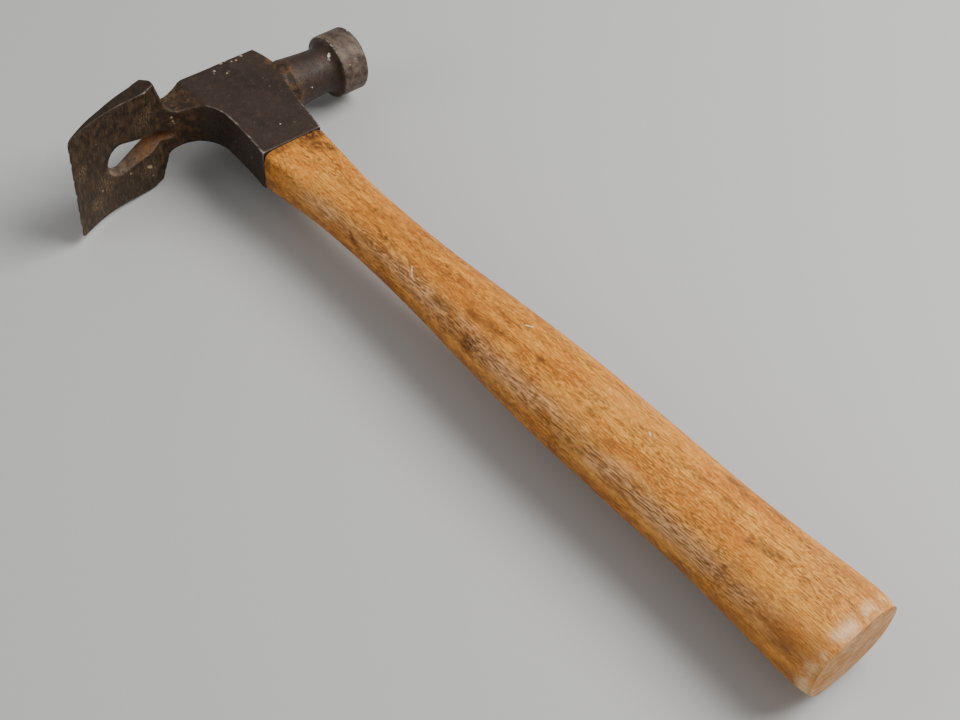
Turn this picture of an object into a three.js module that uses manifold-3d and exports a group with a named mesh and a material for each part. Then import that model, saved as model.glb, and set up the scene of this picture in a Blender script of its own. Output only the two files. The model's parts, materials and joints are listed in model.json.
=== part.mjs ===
// Adze-bladed roofing hatchet: one forged head on a wedged wooden handle.
// Millimetres. The tool frame has x down the handle from the crown of the head, y towards the
// hammer poll and z across the cheeks. The finished tool is laid on its side on the plane z = 0.

import * as THREE from 'three';
import { mergeVertices } from 'three/addons/utils/BufferGeometryUtils.js';
import Module from 'manifold-3d';

const wasm = await Module();
wasm.setup();

// ---- driving dimensions -------------------------------------------------------------------
const TOTAL_LENGTH = 360;        // crown of the head to the end of the butt
const FIT_GAP = 0.3;             // clearance kept between touching pieces
const CURVE_STEPS = 12;          // straight steps along each curved stretch of an outline

// block of the head, around the eye
const BLOCK_HEIGHT = 59.3;
const CHEEK_HALF = 9.8;          // half thickness over the flat cheeks
const BLOCK_TOP_POLL = 21;       // poll-side corner at the crown
const BLOCK_BULGE_POLL = 23.8;   // widest place, where the poll grows out
const BLOCK_FOOT_POLL = 14.3;
const BLOCK_TOP_BLADE = 17.4;
const BLOCK_FOOT_BLADE = 14.7;

// neck and blade
const NECK_UPPER_Z = 8.6;        // the neck steps down a little from the upper cheek
const NECK_LOWER_Z = -9.7;       // and is flush with the lower one
const NECK_UNDERSIDE = 16.3;     // x of the neck's underside
const BLADE_HALF = 25.3;         // two-inch blade with parallel sides
const EDGE_X = 25.8;
const EDGE_Y = -81.8;
const EDGE_LAND = 0.5;           // thickness left at the cutting edge
const SHOULDER_Y = -35.6;        // outer end of the blade's shoulders
const SHOULDER_ROOT_Y = -32;     // where the shoulders leave the neck
const SHOULDER_INNER_X = 13.8;
const SHOULDER_CHAMFER = 3.2;    // ground off the outer corner of each shoulder
const CHAMFER_TOP_X = 10.8;
const CHAMFER_INNER_Z = 13.5;    // where the chamfer starts, out from the neck

// nail-pulling slot: a teardrop, its round end towards the cutting edge, that draws in
// from the inner face of the blade (x = SLOT_INNER_X) to the outer one
const SLOT_BIG_Y = -55.6;
const SLOT_CENTRE_Z = -1.7;
const SLOT_INNER_X = 17.5;
const SLOT_OUTER_X = 8.5;
const SLOT_INNER = { bigRadius: 7.5, smallRadius: 2.2, smallY: -30 };
const SLOT_OUTER = { bigRadius: 3.9, smallRadius: 1.1, smallY: -34.2 };
const BEYOND = 5;                // how far a cutter reaches past what it cuts
const THIN_SLICE = 0.1;

// hammer poll, a body of revolution about y
const POLL_AXIS_X = 18.8;
const POLL_ROOT_RADIUS = 11.6;
const POLL_NECK_RADIUS = 10.3;
const BELL_RADIUS = 14.2;
const BELL_BACK_Y = 47;
const FACE_Y = 60;
const FACE_CHAMFER = 0.8;
const POLL_SEGMENTS = 40;

// eye and the tenon inside it
const TENON_HALF_WIDTH = 9.4;
const TENON_HALF_THICKNESS = 6.3;
const TENON_FLARE = 1.1;         // spread of the tenon at the crown, where it is wedged
const TENON_SQUARENESS = 3.2;
const CROWN_INSET = 0.6;         // wood stands this far below the steel crown

// handle
const SHOULDER_GAP = 0.3;        // between the foot of the block and the handle's shoulder
const SHOULDER_EASE = 0.3;       // edge of the shoulder, just rounded off
const BUTT_BEVEL_LENGTH = 7.5;
const BUTT_BEVEL_DEPTH = 0.9;
const BUTT_BEVEL_ROUNDNESS = 2;  // power of the curve that the bevel follows
const BUTT_DOME = 0.9;
const HANG_ANGLE = 0.8;          // degrees that the handle leans towards the poll
const HANDLE_SEGMENTS = 32;
const HANDLE_STEPS = 32;
const TENON_STEPS = 12;

// wedges
const KERF_DEPTH = 36;
const KERF_THICK_TOP = 3.6;
const KERF_THICK_TIP = 1;
const KERF_HALF_WIDTH = 8.6;
const STEEL_WEDGE_DEPTH = 16;
const STEEL_WEDGE_THICK_TOP = 2.6;
const STEEL_WEDGE_THICK_TIP = 0.8;
const STEEL_WEDGE_HALF_WIDTH = 4;
const STEEL_WEDGE_OFFSET = 4.8;

// ---- materials ----------------------------------------------------------------------------
const patinaSteel = new THREE.MeshStandardMaterial({ color: 0x3c302a, roughness: 0.55, metalness: 0.85 });
const hickory = new THREE.MeshStandardMaterial({ color: 0xc08a50, roughness: 0.6, metalness: 0 });
const wedgeWood = new THREE.MeshStandardMaterial({ color: 0x9a6a3a, roughness: 0.7, metalness: 0 });
const wedgeSteel = new THREE.MeshStandardMaterial({ color: 0x5a5450, roughness: 0.5, metalness: 0.9 });

// ---- solids -------------------------------------------------------------------------------
function toSolid(geometry) {
  const bare = geometry.index ? geometry.toNonIndexed() : geometry.clone();
  bare.deleteAttribute('normal');
  bare.deleteAttribute('uv');
  const merged = mergeVertices(bare, 1e-4);
  return new wasm.Manifold(new wasm.Mesh({
    numProp: 3,
    vertProperties: new Float32Array(merged.attributes.position.array),
    triVerts: new Uint32Array(merged.index.array),
  }));
}

function toGeometry(solid) {
  const mesh = solid.getMesh();
  const geometry = new THREE.BufferGeometry();
  geometry.setAttribute('position', new THREE.BufferAttribute(new Float32Array(mesh.vertProperties), 3));
  geometry.setIndex(new THREE.BufferAttribute(new Uint32Array(mesh.triVerts), 1));
  geometry.computeVertexNormals();
  return geometry;
}

function namedMesh(name, solid, material) {
  const mesh = new THREE.Mesh(toGeometry(solid), material);
  mesh.name = name;
  return mesh;
}

// An outline in (x, y), given thickness across the tool from z = -half to z = +half.
function acrossTool(shape, half) {
  const options = { depth: 2 * half, bevelEnabled: false, curveSegments: CURVE_STEPS };
  return new THREE.ExtrudeGeometry(shape, options).translate(0, 0, -half);
}

// An outline in (y, z), carried along x from x = start to x = end.
function alongTool(shape, start, end) {
  const options = { depth: end - start, bevelEnabled: false, curveSegments: CURVE_STEPS };
  const geometry = new THREE.ExtrudeGeometry(shape, options);
  const frame = new THREE.Matrix4().makeBasis(
    new THREE.Vector3(0, 1, 0), new THREE.Vector3(0, 0, 1), new THREE.Vector3(1, 0, 0));
  return geometry.applyMatrix4(frame).translate(start, 0, 0);
}

// ---- head ---------------------------------------------------------------------------------

// Side view of block, neck and blade, seen across the cheeks.
function headSideOutline() {
  const shape = new THREE.Shape();
  shape.moveTo(0, BLOCK_TOP_POLL);
  shape.bezierCurveTo(7, BLOCK_BULGE_POLL - 0.4, 15, BLOCK_BULGE_POLL + 1.2, 26, BLOCK_BULGE_POLL - 3.4);
  shape.quadraticCurveTo(33, 18.4, BLOCK_HEIGHT, BLOCK_FOOT_POLL);
  shape.lineTo(BLOCK_HEIGHT, -BLOCK_FOOT_BLADE);
  shape.quadraticCurveTo(44, -12.6, 30, -12.9);
  shape.quadraticCurveTo(17.4, -14.4, NECK_UNDERSIDE, -27.5);
  shape.lineTo(SHOULDER_INNER_X, SHOULDER_Y);
  shape.bezierCurveTo(17.3, -46, 15.6, -64, EDGE_X, EDGE_Y);
  shape.lineTo(EDGE_X - EDGE_LAND, EDGE_Y);
  shape.bezierCurveTo(12, -64.5, 9, -37.5, 0, -BLOCK_TOP_BLADE);
  shape.closePath();
  return shape;
}

// One side of the end view, from the poll to the cutting edge: narrow block and neck, wide blade.
function planSide(neckZ) {
  const side = Math.sign(neckZ);
  const path = new THREE.Path();
  path.moveTo(BLOCK_BULGE_POLL + 2, side * CHEEK_HALF);
  path.lineTo(-BLOCK_TOP_BLADE + 1.4, side * CHEEK_HALF);
  path.quadraticCurveTo(-20, neckZ, -25, neckZ);
  path.quadraticCurveTo(-30, neckZ, SHOULDER_ROOT_Y, side * (CHEEK_HALF + 3.2));
  path.lineTo(SHOULDER_Y, side * BLADE_HALF);
  path.lineTo(EDGE_Y - 1, side * BLADE_HALF);
  return path.getPoints(CURVE_STEPS);
}

function headPlanOutline() {
  return new THREE.Shape([...planSide(NECK_UPPER_Z), ...planSide(NECK_LOWER_Z).reverse()]);
}

// The outer corner of each shoulder is ground off towards the crown.
function shoulderChamfer() {
  const outerY = SHOULDER_Y - SHOULDER_CHAMFER;
  const outerX = CHAMFER_TOP_X - SHOULDER_CHAMFER;
  const corner = new THREE.Shape();
  corner.moveTo(4, SHOULDER_Y + 4);
  corner.lineTo(CHAMFER_TOP_X, SHOULDER_Y + 0.4);
  corner.lineTo(outerX, outerY);
  corner.lineTo(4, outerY);
  corner.closePath();
  const depth = BLADE_HALF;
  const cutter = new THREE.ExtrudeGeometry(corner, { depth, bevelEnabled: false });
  const upper = toSolid(cutter.clone().translate(0, 0, CHAMFER_INNER_Z));
  const lower = toSolid(cutter.clone().translate(0, 0, -CHAMFER_INNER_Z - depth));
  return upper.add(lower);
}

function pollSolid() {
  const profile = new THREE.Path();
  profile.moveTo(0, 4);
  profile.lineTo(8.4, 4);
  profile.quadraticCurveTo(9, 17, POLL_ROOT_RADIUS, 25);
  profile.quadraticCurveTo(POLL_NECK_RADIUS + 0.3, 33, POLL_NECK_RADIUS, BELL_BACK_Y - 5.4);
  profile.quadraticCurveTo(POLL_NECK_RADIUS, BELL_BACK_Y - 0.4, BELL_RADIUS - 1.2, BELL_BACK_Y);
  profile.lineTo(BELL_RADIUS, BELL_BACK_Y + 0.3);
  profile.lineTo(BELL_RADIUS, FACE_Y - FACE_CHAMFER);
  profile.lineTo(BELL_RADIUS - FACE_CHAMFER, FACE_Y);
  profile.lineTo(0, FACE_Y);
  const points = profile.getPoints(6);
  const lathe = new THREE.LatheGeometry(points, POLL_SEGMENTS);
  return toSolid(lathe.translate(POLL_AXIS_X, 0, 0));
}

// Teardrop in (y, z): two arcs joined by their common tangents.
function slotOutline({ bigRadius, smallRadius, smallY }) {
  const lean = Math.asin((bigRadius - smallRadius) / (smallY - SLOT_BIG_Y));
  const tangent = Math.PI / 2 - lean;
  const shape = new THREE.Shape();
  shape.absarc(smallY, SLOT_CENTRE_Z, smallRadius, -tangent, tangent, false);
  shape.absarc(SLOT_BIG_Y, SLOT_CENTRE_Z, bigRadius, tangent, 2 * Math.PI - tangent, false);
  shape.closePath();
  return shape;
}

// The slot as a cutter: a straight throat at the outer face, then walls that open out.
function slotSolid() {
  const mouth = toSolid(alongTool(slotOutline(SLOT_INNER), SLOT_INNER_X, EDGE_X + BEYOND));
  const throat = toSolid(alongTool(slotOutline(SLOT_OUTER), -BEYOND, SLOT_OUTER_X));
  const throatEnd = toSolid(alongTool(slotOutline(SLOT_OUTER), SLOT_OUTER_X - THIN_SLICE, SLOT_OUTER_X));
  return wasm.Manifold.hull([mouth, throatEnd]).add(throat);
}

function headSolid(eye) {
  const side = toSolid(acrossTool(headSideOutline(), BLADE_HALF + 1));
  const plan = toSolid(alongTool(headPlanOutline(), -BEYOND, BLOCK_HEIGHT + BEYOND));
  return side.intersect(plan).subtract(shoulderChamfer()).add(pollSolid())
    .subtract(slotSolid()).subtract(eye);
}

// ---- handle -------------------------------------------------------------------------------

// Half width, half thickness and squareness of the grip at stations down the handle.
const GRIP_STATIONS = [
  { x: BLOCK_HEIGHT, width: 14.8, thickness: 9.7, squareness: 6.5 },
  { x: 80, width: 14.1, thickness: 9.9, squareness: 3.4 },
  { x: 118, width: 13.2, thickness: 10.1, squareness: 2.5 },
  { x: 150, width: 14.1, thickness: 10.7, squareness: 2.4 },
  { x: 184, width: 16.3, thickness: 12.2, squareness: 2.4 },
  { x: 218, width: 18.1, thickness: 13.5, squareness: 2.4 },
  { x: 260, width: 18.7, thickness: 13.9, squareness: 2.4 },
  { x: 302, width: 18.9, thickness: 14.1, squareness: 2.4 },
  { x: 328, width: 20.1, thickness: 15, squareness: 2.4 },
  { x: TOTAL_LENGTH - 14, width: 21.2, thickness: 15.8, squareness: 2.4 },
  { x: TOTAL_LENGTH, width: 21.4, thickness: 15.9, squareness: 2.4 },
];

function smoothStation(x, key) {
  const last = GRIP_STATIONS.length - 1;
  let i = 0;
  while (i < last - 1 && x > GRIP_STATIONS[i + 1].x) i += 1;
  const [a, b] = [GRIP_STATIONS[i], GRIP_STATIONS[i + 1]];
  const before = GRIP_STATIONS[Math.max(i - 1, 0)];
  const after = GRIP_STATIONS[Math.min(i + 2, last)];
  const span = b.x - a.x;
  const t = THREE.MathUtils.clamp((x - a.x) / span, 0, 1);
  const slopeA = (b[key] - before[key]) / (b.x - before.x) * span;
  const slopeB = (after[key] - a[key]) / (after.x - a.x) * span;
  const t2 = t * t;
  const t3 = t2 * t;
  return (2 * t3 - 3 * t2 + 1) * a[key] + (t3 - 2 * t2 + t) * slopeA
    + (3 * t2 - 2 * t3) * b[key] + (t3 - t2) * slopeB;
}

function gripSection(x, inset) {
  return {
    x,
    width: smoothStation(x, 'width') - inset,
    thickness: smoothStation(x, 'thickness') - inset,
    squareness: smoothStation(x, 'squareness'),
  };
}

// The tenon is waisted in the middle of the eye and spread by the wedges at the crown.
function tenonSection(x, clearance) {
  const up = 1 - x / BLOCK_HEIGHT;
  const spread = TENON_FLARE * (up * up + 0.35 * (1 - up) * (1 - up));
  return {
    x,
    width: TENON_HALF_WIDTH + spread + clearance,
    thickness: TENON_HALF_THICKNESS + spread + clearance,
    squareness: TENON_SQUARENESS,
  };
}

function signedPower(value, power) {
  return Math.abs(value) < 1e-9 ? 0 : Math.sign(value) * Math.abs(value) ** power;
}

// A closed solid through sections down x: the rings of a cylinder, each reshaped to its section.
function loft(sections) {
  const steps = sections.length - 1;
  const cylinder = new THREE.CylinderGeometry(1, 1, steps, HANDLE_SEGMENTS, steps);
  const position = cylinder.attributes.position;
  for (let i = 0; i < position.count; i += 1) {
    const section = sections[Math.round(position.getY(i) + steps / 2)];
    const power = 2 / section.squareness;
    const y = signedPower(position.getX(i), power) * section.width;
    const z = signedPower(position.getZ(i), power) * section.thickness;
    position.setXYZ(i, section.x, y, -z);
  }
  return toSolid(cylinder);
}

function handleSections() {
  const sections = [];
  const shoulder = BLOCK_HEIGHT + SHOULDER_GAP;
  for (let i = 0; i <= TENON_STEPS; i += 1) {
    sections.push(tenonSection(CROWN_INSET + (shoulder - CROWN_INSET) * i / TENON_STEPS, 0));
  }
  sections.push(gripSection(shoulder, SHOULDER_EASE));
  const grip = TOTAL_LENGTH - BUTT_DOME - BUTT_BEVEL_LENGTH;
  for (let i = 0; i <= HANDLE_STEPS; i += 1) {
    const x = shoulder + SHOULDER_EASE + (grip - shoulder - SHOULDER_EASE) * i / HANDLE_STEPS;
    sections.push(gripSection(x, 0));
  }
  for (const share of [0.4, 0.7, 1]) {
    const inset = BUTT_BEVEL_DEPTH * share ** BUTT_BEVEL_ROUNDNESS;
    sections.push({ ...gripSection(grip, inset), x: grip + BUTT_BEVEL_LENGTH * share });
  }
  const rim = sections.at(-1);
  for (const [scale, rise] of [[0.8, 0.4], [0.55, 0.75], [0.4, 1]]) {
    sections.push({
      x: rim.x + BUTT_DOME * rise,
      width: rim.width * scale,
      thickness: rim.thickness * scale,
      squareness: rim.squareness,
    });
  }
  return sections;
}

function eyeCutter() {
  const sections = [];
  for (let i = 0; i <= TENON_STEPS + 2; i += 1) {
    const x = -2 + (BLOCK_HEIGHT + 4) * i / (TENON_STEPS + 2);
    sections.push(tenonSection(x, FIT_GAP));
  }
  return loft(sections);
}

// ---- wedges -------------------------------------------------------------------------------

// A wedge driven down from the crown, symmetric about its own plane.
// The outline is drawn in (x, thickness); halfWidth runs across it.
function wedgeGeometry(depth, thickTop, thickTip, halfWidth, clearance) {
  const outline = new THREE.Shape();
  const top = CROWN_INSET - (clearance > 0 ? 2 : 0);
  outline.moveTo(top, thickTop / 2 + clearance);
  outline.lineTo(top, -thickTop / 2 - clearance);
  outline.lineTo(CROWN_INSET + depth + clearance, -thickTip / 2 - clearance);
  outline.lineTo(CROWN_INSET + depth + clearance, thickTip / 2 + clearance);
  outline.closePath();
  const half = halfWidth + clearance;
  return new THREE.ExtrudeGeometry(outline, { depth: 2 * half, bevelEnabled: false }).translate(0, 0, -half);
}

// The wooden wedge spreads the tenon towards the cheeks, so its thickness runs along z.
function kerfWedge(clearance) {
  const geometry = wedgeGeometry(KERF_DEPTH, KERF_THICK_TOP, KERF_THICK_TIP, KERF_HALF_WIDTH, clearance);
  return toSolid(geometry.rotateX(Math.PI / 2));
}

// The steel wedges cross the wooden one and spread the tenon along y.
function steelWedge(side, clearance) {
  const geometry = wedgeGeometry(
    STEEL_WEDGE_DEPTH, STEEL_WEDGE_THICK_TOP, STEEL_WEDGE_THICK_TIP, STEEL_WEDGE_HALF_WIDTH, clearance);
  return toSolid(geometry.translate(0, side * STEEL_WEDGE_OFFSET, 0));
}

// ---- assembly -----------------------------------------------------------------------------
// The handle leans by the hang angle about the foot of the block.
const hang = new THREE.Matrix4().makeTranslation(BLOCK_HEIGHT, 0, 0)
  .multiply(new THREE.Matrix4().makeRotationZ(THREE.MathUtils.degToRad(HANG_ANGLE)))
  .multiply(new THREE.Matrix4().makeTranslation(-BLOCK_HEIGHT, 0, 0));

function hung(solid) {
  return solid.transform(hang.elements);
}

const steelSides = [-1, 1];
const steelCutters = steelSides.map((side) => steelWedge(side, FIT_GAP));
let kerf = kerfWedge(0);
let handle = loft(handleSections()).subtract(kerfWedge(FIT_GAP));
for (const cutter of steelCutters) {
  kerf = kerf.subtract(cutter);
  handle = handle.subtract(cutter);
}

const tool = new THREE.Group();
tool.add(namedMesh('head', headSolid(hung(eyeCutter())), patinaSteel));
tool.add(namedMesh('handle', hung(handle), hickory));
tool.add(namedMesh('kerf_wedge', hung(kerf), wedgeWood));
steelSides.forEach((side, i) => {
  tool.add(namedMesh(`steel_wedge_${i + 1}`, hung(steelWedge(side, 0)), wedgeSteel));
});

// The tool rests on the blade's lower corner, the rim of the bell and the rim of the butt.
function restingTurn() {
  const blade = new THREE.Vector3(EDGE_X, EDGE_Y, -BLADE_HALF);
  const bell = new THREE.Vector3(POLL_AXIS_X, (BELL_BACK_Y + FACE_Y) / 2, -BELL_RADIUS);
  const buttX = TOTAL_LENGTH - BUTT_DOME - BUTT_BEVEL_LENGTH;
  const butt = new THREE.Vector3(buttX, 0, -gripSection(buttX, 0).thickness).applyMatrix4(hang);
  const up = new THREE.Vector3().crossVectors(butt.sub(blade), bell.sub(blade)).normalize();
  return new THREE.Quaternion().setFromUnitVectors(up, new THREE.Vector3(0, 0, 1));
}

const group = new THREE.Group();
tool.quaternion.copy(restingTurn());
group.add(tool);
group.updateMatrixWorld(true);

// Origin at the centre of the laid tool's footprint, on the surface that it rests on.
const box = new THREE.Box3().setFromObject(group, true);
const centre = box.getCenter(new THREE.Vector3());
tool.position.set(-centre.x, -centre.y, -box.min.z);

export default group;
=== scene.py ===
import json
import math

import bmesh
import bpy
import numpy as np
from mathutils import Matrix, Vector


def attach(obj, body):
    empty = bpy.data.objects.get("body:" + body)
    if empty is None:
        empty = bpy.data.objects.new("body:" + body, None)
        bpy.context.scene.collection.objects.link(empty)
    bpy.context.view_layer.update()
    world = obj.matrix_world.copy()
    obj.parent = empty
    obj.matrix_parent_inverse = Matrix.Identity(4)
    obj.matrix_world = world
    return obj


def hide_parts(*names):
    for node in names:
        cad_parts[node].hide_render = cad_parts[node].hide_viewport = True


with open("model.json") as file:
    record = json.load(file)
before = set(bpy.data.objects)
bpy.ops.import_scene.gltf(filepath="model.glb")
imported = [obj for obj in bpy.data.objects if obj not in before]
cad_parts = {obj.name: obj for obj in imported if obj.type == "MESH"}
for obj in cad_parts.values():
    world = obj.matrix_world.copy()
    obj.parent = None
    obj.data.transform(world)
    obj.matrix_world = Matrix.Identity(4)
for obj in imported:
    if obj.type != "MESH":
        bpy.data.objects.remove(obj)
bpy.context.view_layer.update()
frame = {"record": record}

MM = 0.001

# ---- the tool frame ----
# x runs down the handle from the crown of the head, y towards the hammer poll, z across the
# cheeks, all in millimetres. Two mounts of the record say where that frame lies.
CHEEK_MOUNT = (30, 0, 9.8)
BLOCK_HEIGHT = 59.3
HANG_ANGLE = math.radians(0.8)


def tool_matrix():
    """From the tool frame in millimetres to the row frame in metres."""
    mounts = {mount["name"]: mount for mount in frame["record"]["mounts"]}
    across = Vector(mounts["upper_cheek"]["axis"]).normalized()
    to_poll = Vector(mounts["striking_face"]["axis"]).normalized()
    down = to_poll.cross(across).normalized()
    to_poll = across.cross(down)
    turn = Matrix((down, to_poll, across)).transposed()
    origin = Vector(mounts["upper_cheek"]["pos_m"]) - turn @ (Vector(CHEEK_MOUNT) * MM)
    return Matrix.Translation(origin) @ turn.to_4x4() @ Matrix.Scale(MM, 4)


TOOL = tool_matrix()
HANG = (Matrix.Translation((BLOCK_HEIGHT, 0, 0)) @ Matrix.Rotation(HANG_ANGLE, 4, "Z")
        @ Matrix.Translation((-BLOCK_HEIGHT, 0, 0)))


# ---- meshes from arrays ----
def set_attributes(mesh, points, attributes):
    """Point values for the materials. The texture coordinates are the tool frame's own."""
    grain = mesh.attributes.new("grain", "FLOAT_VECTOR", "POINT")
    grain.data.foreach_set("vector", np.asarray(points, np.float32).ravel())
    for key, values in attributes.items():
        layer = mesh.attributes.new(key, "FLOAT", "POINT")
        layer.data.foreach_set("value", np.asarray(values, np.float32))


def make_mesh(name, points, faces):
    """A smooth-shaded object, still in the tool frame."""
    mesh = bpy.data.meshes.new(name)
    mesh.vertices.add(len(points))
    mesh.vertices.foreach_set("co", np.asarray(points, np.float32).ravel())
    sides = faces.shape[1]
    mesh.loops.add(faces.size)
    mesh.loops.foreach_set("vertex_index", faces.astype(np.int32).ravel())
    mesh.polygons.add(len(faces))
    mesh.polygons.foreach_set("loop_start", np.arange(0, faces.size, sides, dtype=np.int32))
    mesh.polygons.foreach_set("loop_total", np.full(len(faces), sides, np.int32))
    mesh.polygons.foreach_set("use_smooth", np.ones(len(faces), bool))
    mesh.update(calc_edges=True)
    mesh.validate()
    piece = bpy.data.objects.new(name, mesh)
    bpy.context.scene.collection.objects.link(piece)
    return piece


def mesh_points(mesh):
    points = np.empty(len(mesh.vertices) * 3, np.float32)
    mesh.vertices.foreach_get("co", points)
    return points.reshape(-1, 3).astype(float)


def carve(piece, cutters):
    """Cuts the other objects out of this one, and keeps the cut edges sharp."""
    for cutter in cutters:
        modifier = piece.modifiers.new("cut", "BOOLEAN")
        modifier.operation = "DIFFERENCE"
        modifier.solver = "EXACT"
        modifier.object = cutter
    graph = bpy.context.evaluated_depsgraph_get()
    carved = bpy.data.meshes.new_from_object(piece.evaluated_get(graph))
    piece.modifiers.clear()
    piece.data = carved
    carved.set_sharp_from_angle(angle=math.radians(38))


def discard(pieces):
    for piece in pieces:
        bpy.data.objects.remove(piece, do_unlink=True)


def smooth_step(low, high, value):
    t = np.clip((value - low) / (high - low), 0, 1)
    return t * t * (3 - 2 * t)


def straight_step(start, end, value):
    """0 at the start, 1 at the end, straight between."""
    return np.clip((value - start) / (end - start), 0, 1)


def waves(points, size, seed, count=7):
    """Smooth random unevenness between about -1 and 1, with bumps of about the given size."""
    random = np.random.default_rng(seed)
    total = np.zeros(points.shape[:-1])
    for _ in range(count):
        direction = random.normal(size=3)
        direction *= random.uniform(0.7, 1.4) * math.pi / size / np.linalg.norm(direction)
        total += np.sin(points @ direction + random.uniform(0, 2 * math.pi))
    return total / math.sqrt(count)


# ---- outlines in the plane ----
def curve(*controls, steps=14):
    """Points along a Bezier curve of any degree, without its first point."""
    t = np.linspace(0, 1, steps + 1)[1:, None]
    controls = np.repeat(np.array(controls, float)[:, None, :], len(t), axis=1)
    while len(controls) > 1:
        controls = controls[:-1] * (1 - t) + controls[1:] * t
    return [tuple(p) for p in controls[0]]


def outline_distance(points, u, v):
    """Distance from a closed outline, negative inside it."""
    points = np.array(points, float)
    nearest = np.full(u.shape, np.inf)
    inside = np.zeros(u.shape, bool)
    for (au, av), (bu, bv) in zip(points, np.roll(points, -1, axis=0)):
        du, dv = bu - au, bv - av
        length = du * du + dv * dv
        if length < 1e-12:
            continue
        t = np.clip(((u - au) * du + (v - av) * dv) / length, 0, 1)
        nearest = np.minimum(nearest, (u - au - t * du) ** 2 + (v - av - t * dv) ** 2)
        if dv:
            crossing = (av > v) != (bv > v)
            inside ^= crossing & (u < au + (v - av) / dv * du)
    return np.sqrt(nearest) * np.where(inside, -1, 1)


class Table:
    """Distances from an outline, sampled once over a rectangle and then looked up."""

    def __init__(self, points, low, high, step=0.2):
        self.low = np.array(low, float)
        self.step = step
        self.shape = (np.ceil((np.array(high) - self.low) / step)).astype(int) + 1
        u = self.low[0] + step * np.arange(self.shape[0])
        v = self.low[1] + step * np.arange(self.shape[1])
        self.values = outline_distance(points, *np.meshgrid(u, v, indexing="ij"))

    def __call__(self, u, v):
        a = np.clip((u - self.low[0]) / self.step, 0, self.shape[0] - 1.001)
        b = np.clip((v - self.low[1]) / self.step, 0, self.shape[1] - 1.001)
        i, j = a.astype(int), b.astype(int)
        s, t = a - i, b - j
        d = self.values
        return ((d[i, j] * (1 - s) + d[i + 1, j] * s) * (1 - t)
                + (d[i, j + 1] * (1 - s) + d[i + 1, j + 1] * s) * t)


def round_cut(a, b, radius):
    """Where both hold, with the edge between them rounded off."""
    u, v = np.maximum(a + radius, 0), np.maximum(b + radius, 0)
    return np.minimum(-radius, np.maximum(a, b)) + np.hypot(u, v)


def round_join(a, b, radius):
    """Where either holds, with a fillet between them."""
    u, v = np.maximum(radius - a, 0), np.maximum(radius - b, 0)
    return np.maximum(radius, np.minimum(a, b)) - np.hypot(u, v)


# ---- head ----
CHEEK_HALF = 9.8
NECK_UPPER_Z = 8.6
NECK_LOWER_Z = -9.7
BLADE_HALF = 25.3
EDGE = (25.8, -81.8)
EDGE_LAND = 0.5
SHOULDER_Y = -35.6
POLL_AXIS_X = 18.8
NECK_RADIUS = 10.3
BELL_RADIUS = 14.2
BELL_BACK_Y = 47
FACE_Y = 60
SLOT_BIG = (-55.6, 7.5)          # y of the centre and radius, on the inner face
SLOT_SMALL = (-30.0, 2.2)
SLOT_OUTER_BIG = (-55.6, 3.9)    # the same on the outer face
SLOT_OUTER_SMALL = (-34.2, 1.1)
SLOT_INNER_X = 17.5
SLOT_OUTER_X = 8.5
SLOT_CENTRE_Z = -1.7
EYE_GAP = 0.3
SKIN = 0.08                      # kept inside the outlines, to leave room for unevenness
# nicks in the cutting edge: z and depth
NICK_RADIUS = 1.1
NICKS = [(-20, 0.5), (-12.5, 0.35), (-3, 0.6), (5, 0.4), (13.5, 0.5), (19, 0.3)]


def side_outline():
    points = [(0, 21)]
    points += curve((0, 21), (7, 23.4), (15, 25), (26, 20.4))
    points += curve((26, 20.4), (33, 18.4), (BLOCK_HEIGHT, 14.3))
    points += [(BLOCK_HEIGHT, -14.7)]
    points += curve((BLOCK_HEIGHT, -14.7), (44, -12.6), (30, -12.9))
    points += curve((30, -12.9), (17.4, -14.4), (16.3, -27.5))
    points += [(13.8, SHOULDER_Y), (16.3, -41)]
    points += curve((16.3, -41), (17.6, -49), (16, -62), EDGE, steps=30)
    points += [(EDGE[0] - EDGE_LAND, EDGE[1])]
    points += curve((EDGE[0] - EDGE_LAND, EDGE[1]), (12, -64.5), (9, -37.5), (0, -17.4), steps=40)
    return points


def plan_side(neck_z):
    """One side of the end view, from the block to the cutting edge."""
    side = math.copysign(1, neck_z)
    points = [(40, side * CHEEK_HALF), (-16, side * CHEEK_HALF)]
    points += curve((-16, side * CHEEK_HALF), (-20, neck_z), (-25, neck_z))
    points += curve((-25, neck_z), (-30, neck_z), (-32, side * 13))
    points += [(SHOULDER_Y, side * BLADE_HALF), (EDGE[1] + 1.4, side * BLADE_HALF)]
    return points + [(EDGE[1] - 1, side * (BLADE_HALF - 1.6))]


def plan_outline():
    return plan_side(NECK_UPPER_Z) + plan_side(NECK_LOWER_Z)[::-1]


def poll_outline():
    """Radius against y, mirrored so that the axis is inside the outline."""
    half = [(4, 0), (4, 8.4)]
    half += curve((4, 8.4), (17, 9), (25, 11.6))
    half += curve((25, 11.6), (33, NECK_RADIUS + 0.3), (BELL_BACK_Y - 5.4, NECK_RADIUS))
    half += curve((BELL_BACK_Y - 5.4, NECK_RADIUS), (BELL_BACK_Y - 0.4, NECK_RADIUS), (BELL_BACK_Y, 13))
    half += [(BELL_BACK_Y + 0.3, BELL_RADIUS)]
    half += [(FACE_Y - 0.8, BELL_RADIUS), (FACE_Y, BELL_RADIUS - 0.8)]
    return half + [(y, -r) for y, r in reversed(half)]


def tenon_half_sizes(x):
    up = 1 - x / BLOCK_HEIGHT
    spread = 1.1 * (up * up + 0.35 * (1 - up) ** 2)
    return 9.4 + spread, 6.3 + spread


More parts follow.
